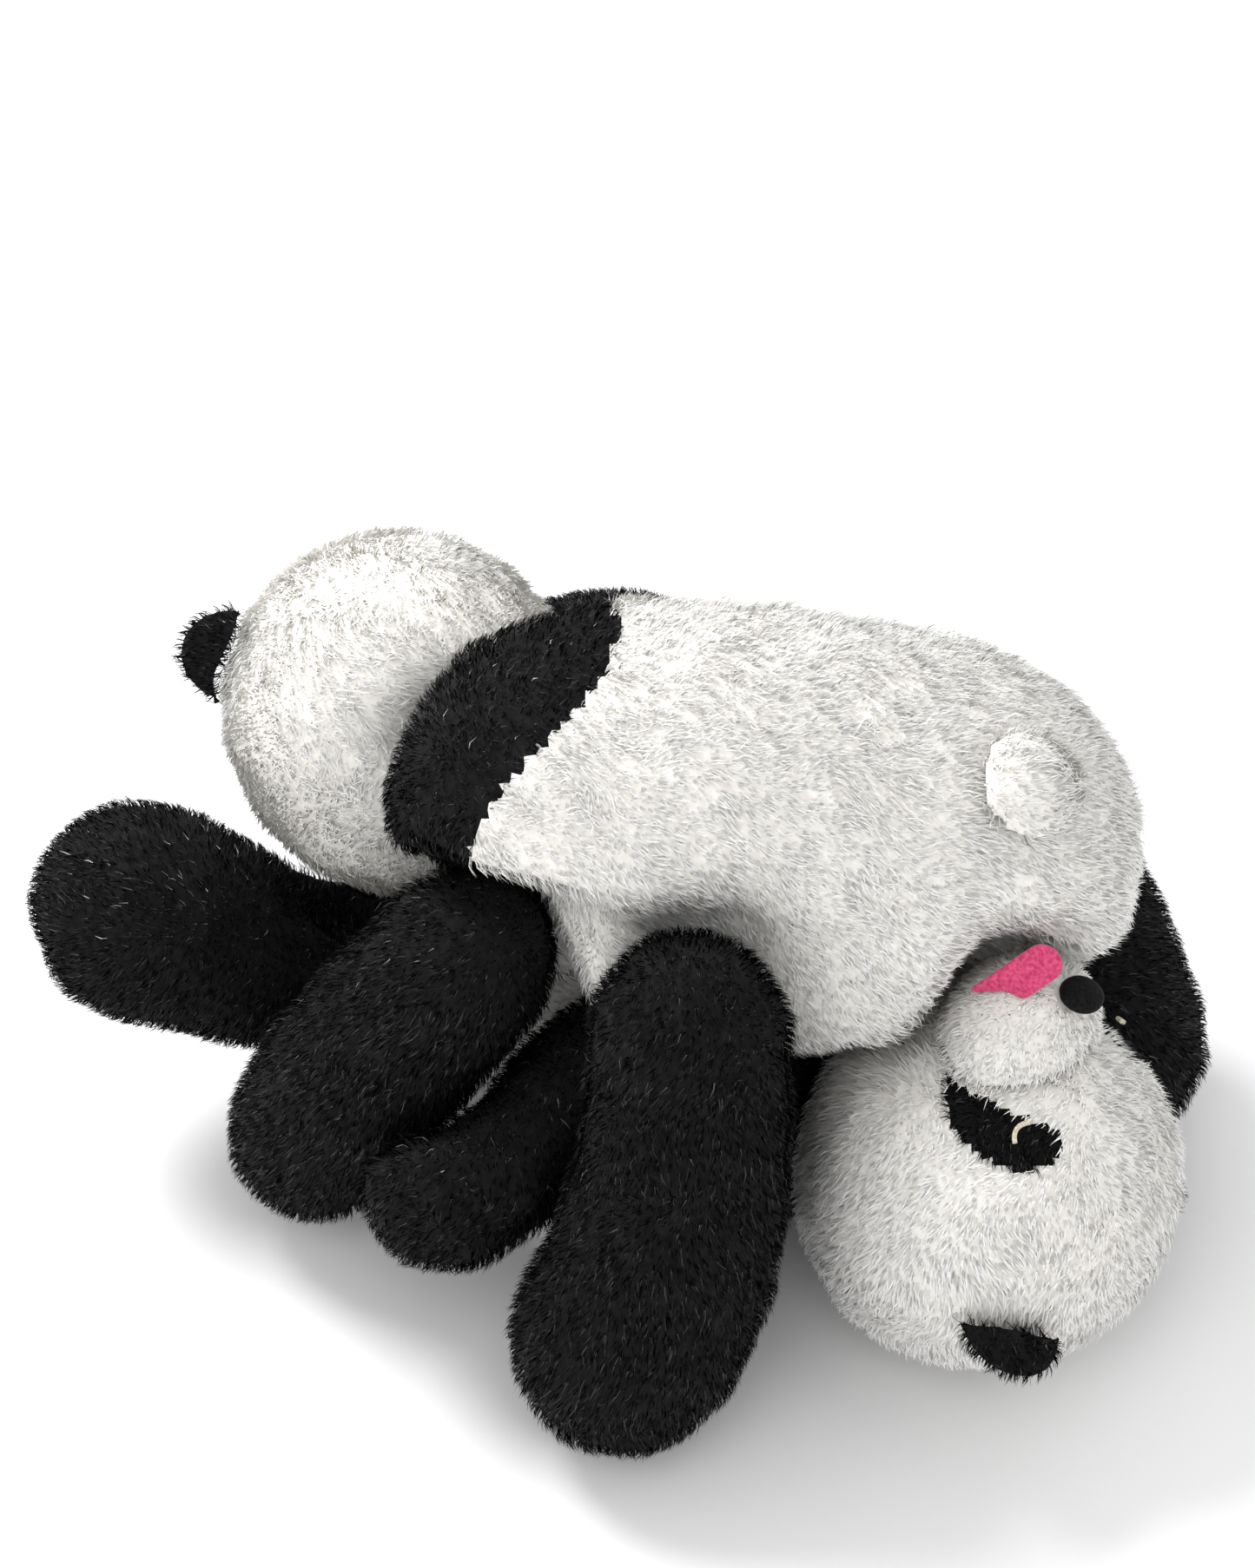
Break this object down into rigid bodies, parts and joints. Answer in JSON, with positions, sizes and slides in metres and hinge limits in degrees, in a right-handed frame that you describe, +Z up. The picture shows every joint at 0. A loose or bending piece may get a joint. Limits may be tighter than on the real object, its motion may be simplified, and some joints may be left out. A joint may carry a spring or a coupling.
{
  "type": "plush panda",
  "caption": "Jumbo long-pile plush pandas asleep in a pile, one draped face down over another on its back, with jointed soft limbs, heads, ears and tails",
  "frame": {"origin": "the middle of the flat patch where the lower toy's body rests on the floor", "axes": "+X towards the lower toy's head along the length of the pile, +Y from the front of the pile to its back, +Z up"},
  "size_m": [0.7915, 0.782, 0.468],
  "materials": {
    "white_pile": "warm white long-pile plush, 10 mm pile, soft and matt",
    "black_pile": "near-black long-pile plush, 10 mm pile, with fine bright glints on the fibre tips",
    "black_felt": "black short-nap velvet on the nose",
    "pink_felt": "crimson pink felt",
    "cream_thread": "cream embroidery thread",
    "stuffing": "white polyester fibre filling"
  },
  "bodies": {
    "lower_body": {"lower_torso_cover": "white_pile", "lower_yoke_cover": "black_pile", "lower_torso_fill": "stuffing"},
    "lower_head": {"lower_head_cover": "white_pile", "lower_head_fill": "stuffing", "lower_muzzle": "white_pile", "lower_nose": "black_felt", "lower_eye_patch_left": "black_pile", "lower_eye_patch_right": "black_pile", "lower_eyelid_left": "cream_thread", "lower_eyelid_right": "cream_thread"},
    "lower_arm_left": {"lower_arm_left_cover": "black_pile", "lower_arm_left_fill": "stuffing"},
    "lower_arm_right": {"lower_arm_right_cover": "black_pile", "lower_arm_right_fill": "stuffing"},
    "lower_leg_left": {"lower_leg_left_cover": "black_pile", "lower_leg_left_fill": "stuffing"},
    "lower_leg_right": {"lower_leg_right_cover": "black_pile", "lower_leg_right_fill": "stuffing"},
    "lower_tail": {"lower_tail": "white_pile"},
    "lower_ear_left": {"lower_ear_left": "black_pile"},
    "lower_ear_right": {"lower_ear_right": "black_pile"},
    "lower_tongue": {"lower_tongue": "pink_felt"},
    "upper_body": {"upper_torso_cover": "white_pile", "upper_yoke_cover": "black_pile", "upper_torso_fill": "stuffing"},
    "upper_head": {"upper_head_cover": "white_pile", "upper_head_fill": "stuffing", "upper_muzzle": "white_pile", "upper_nose": "black_felt", "upper_eye_patch_left": "black_pile", "upper_eye_patch_right": "black_pile", "upper_eyelid_left": "cream_thread", "upper_eyelid_right": "cream_thread"},
    "upper_arm_left": {"upper_arm_left_cover": "black_pile", "upper_arm_left_fill": "stuffing"},
    "upper_arm_right": {"upper_arm_right_cover": "black_pile", "upper_arm_right_fill": "stuffing"},
    "upper_leg_left": {"upper_leg_left_cover": "black_pile", "upper_leg_left_fill": "stuffing"},
    "upper_leg_right": {"upper_leg_right_cover": "black_pile", "upper_leg_right_fill": "stuffing"},
    "upper_tail": {"upper_tail": "white_pile"},
    "upper_ear_left": {"upper_ear_left": "black_pile"},
    "upper_ear_right": {"upper_ear_right": "black_pile"},
    "upper_tongue": {"upper_tongue": "pink_felt"}
  },
  "joints": [
    {"name": "lower_neck", "type": "hinge", "parent": "lower_body", "child": "lower_head", "pos_m": [0.198, -0.199, 0.126], "axis": [0.9018, -0.4093, 0.1387], "range_deg": [-3, 17], "stiffness_Nm_per_rad": 4},
    {"name": "lower_arm_left_shoulder", "type": "hinge", "parent": "lower_body", "child": "lower_arm_left", "pos_m": [-0.036, -0.164, 0.172], "axis": [-0.3104, 0.0946, 0.9459], "range_deg": [-2, 3], "stiffness_Nm_per_rad": 3},
    {"name": "lower_arm_right_shoulder", "type": "hinge", "parent": "lower_body", "child": "lower_arm_right", "pos_m": [0.16, -0.002, 0.104], "axis": [0.9652, -0.2614, 0], "range_deg": [-3, 3], "stiffness_Nm_per_rad": 3},
    {"name": "lower_leg_left_hip", "type": "hinge", "parent": "lower_body", "child": "lower_leg_left", "pos_m": [-0.178, 0.034, 0.09], "axis": [0.2855, -0.9584, 0], "range_deg": [-3, 12.5], "stiffness_Nm_per_rad": 5},
    {"name": "lower_leg_right_hip", "type": "hinge", "parent": "lower_body", "child": "lower_leg_right", "pos_m": [0.066, 0.207, 0.094], "axis": [0.0484, -0.0645, -0.9967], "range_deg": [-2.5, 30], "stiffness_Nm_per_rad": 5},
    {"name": "lower_tail_root", "type": "hinge", "parent": "lower_body", "child": "lower_tail", "pos_m": [-0.1064, 0.1784, 0.0563], "axis": [0.8663, 0.4996, 0], "range_deg": [-6, 6], "stiffness_Nm_per_rad": 0.3},
    {"name": "lower_ear_left_root", "type": "hinge", "parent": "lower_head", "child": "lower_ear_left", "pos_m": [0.2024, -0.3194, 0.1152], "axis": [-0.9468, -0.0628, 0.3156], "range_deg": [-8.5, 8.5], "stiffness_Nm_per_rad": 0.3},
    {"name": "lower_ear_right_root", "type": "hinge", "parent": "lower_head", "child": "lower_ear_right", "pos_m": [0.3007, -0.1566, 0.078], "axis": [0.3447, -0.9346, -0.088], "range_deg": [-8.5, 8.5], "stiffness_Nm_per_rad": 0.3},
    {"name": "lower_tongue_root", "type": "hinge", "parent": "lower_head", "child": "lower_tongue", "pos_m": [0.1935, -0.1976, 0.2762], "axis": [0.6201, -0.485, -0.6167], "range_deg": [-3, 12.5], "stiffness_Nm_per_rad": 0.02},
    {"name": "upper_lift", "type": "slide", "parent": "lower_body", "child": "upper_body", "axis": [0.3304, -0.0885, 0.9397], "range_m": [0, 0.25]},
    {"name": "upper_neck", "type": "hinge", "parent": "upper_body", "child": "upper_head", "pos_m": [-0.177, 0.074, 0.285], "axis": [-0.3229, 0.8568, -0.402], "range_deg": [-3, 6], "stiffness_Nm_per_rad": 4},
    {"name": "upper_arm_left_shoulder", "type": "hinge", "parent": "upper_body", "child": "upper_arm_left", "pos_m": [-0.126, -0.166, 0.278], "axis": [-0.6258, 0.6258, 0.4657], "range_deg": [-2, 6], "stiffness_Nm_per_rad": 3},
    {"name": "upper_arm_right_shoulder", "type": "hinge", "parent": "upper_body", "child": "upper_arm_right", "pos_m": [0.006, 0.095, 0.27], "axis": [0.8778, 0.3388, -0.3388], "range_deg": [-2.5, 35], "stiffness_Nm_per_rad": 3},
    {"name": "upper_leg_left_hip", "type": "hinge", "parent": "upper_body", "child": "upper_leg_left", "pos_m": [0.008, -0.252, 0.298], "axis": [-0.9557, 0.0577, 0.2886], "range_deg": [-1.5, 30], "stiffness_Nm_per_rad": 5},
    {"name": "upper_leg_right_hip", "type": "hinge", "parent": "upper_body", "child": "upper_leg_right", "pos_m": [0.232, 0.064, 0.226], "axis": [-0.1975, -0.7265, 0.6582], "range_deg": [-1.5, 30], "stiffness_Nm_per_rad": 5},
    {"name": "upper_tail_root", "type": "hinge", "parent": "upper_body", "child": "upper_tail", "pos_m": [0.196, -0.1388, 0.3772], "axis": [-0.8485, -0.5291, 0], "range_deg": [-6, 6], "stiffness_Nm_per_rad": 0.3},
    {"name": "upper_ear_left_root", "type": "hinge", "parent": "upper_head", "child": "upper_ear_left", "pos_m": [-0.1873, 0.026, 0.1744], "axis": [0.9951, 0.0126, -0.0979], "range_deg": [-8.5, 8.5], "stiffness_Nm_per_rad": 0.3},
    {"name": "upper_ear_right_root", "type": "hinge", "parent": "upper_head", "child": "upper_ear_right", "pos_m": [-0.2878, 0.0718, 0.3336], "axis": [-0.3795, -0.2929, -0.8776], "range_deg": [-8.5, 8.5], "stiffness_Nm_per_rad": 0.3},
    {"name": "upper_tongue_root", "type": "hinge", "parent": "upper_head", "child": "upper_tongue", "pos_m": [-0.13, 0.2102, 0.2537], "axis": [0.9422, 0.2764, 0.1892], "range_deg": [-3, 12.5], "stiffness_Nm_per_rad": 0.02}
  ]
}
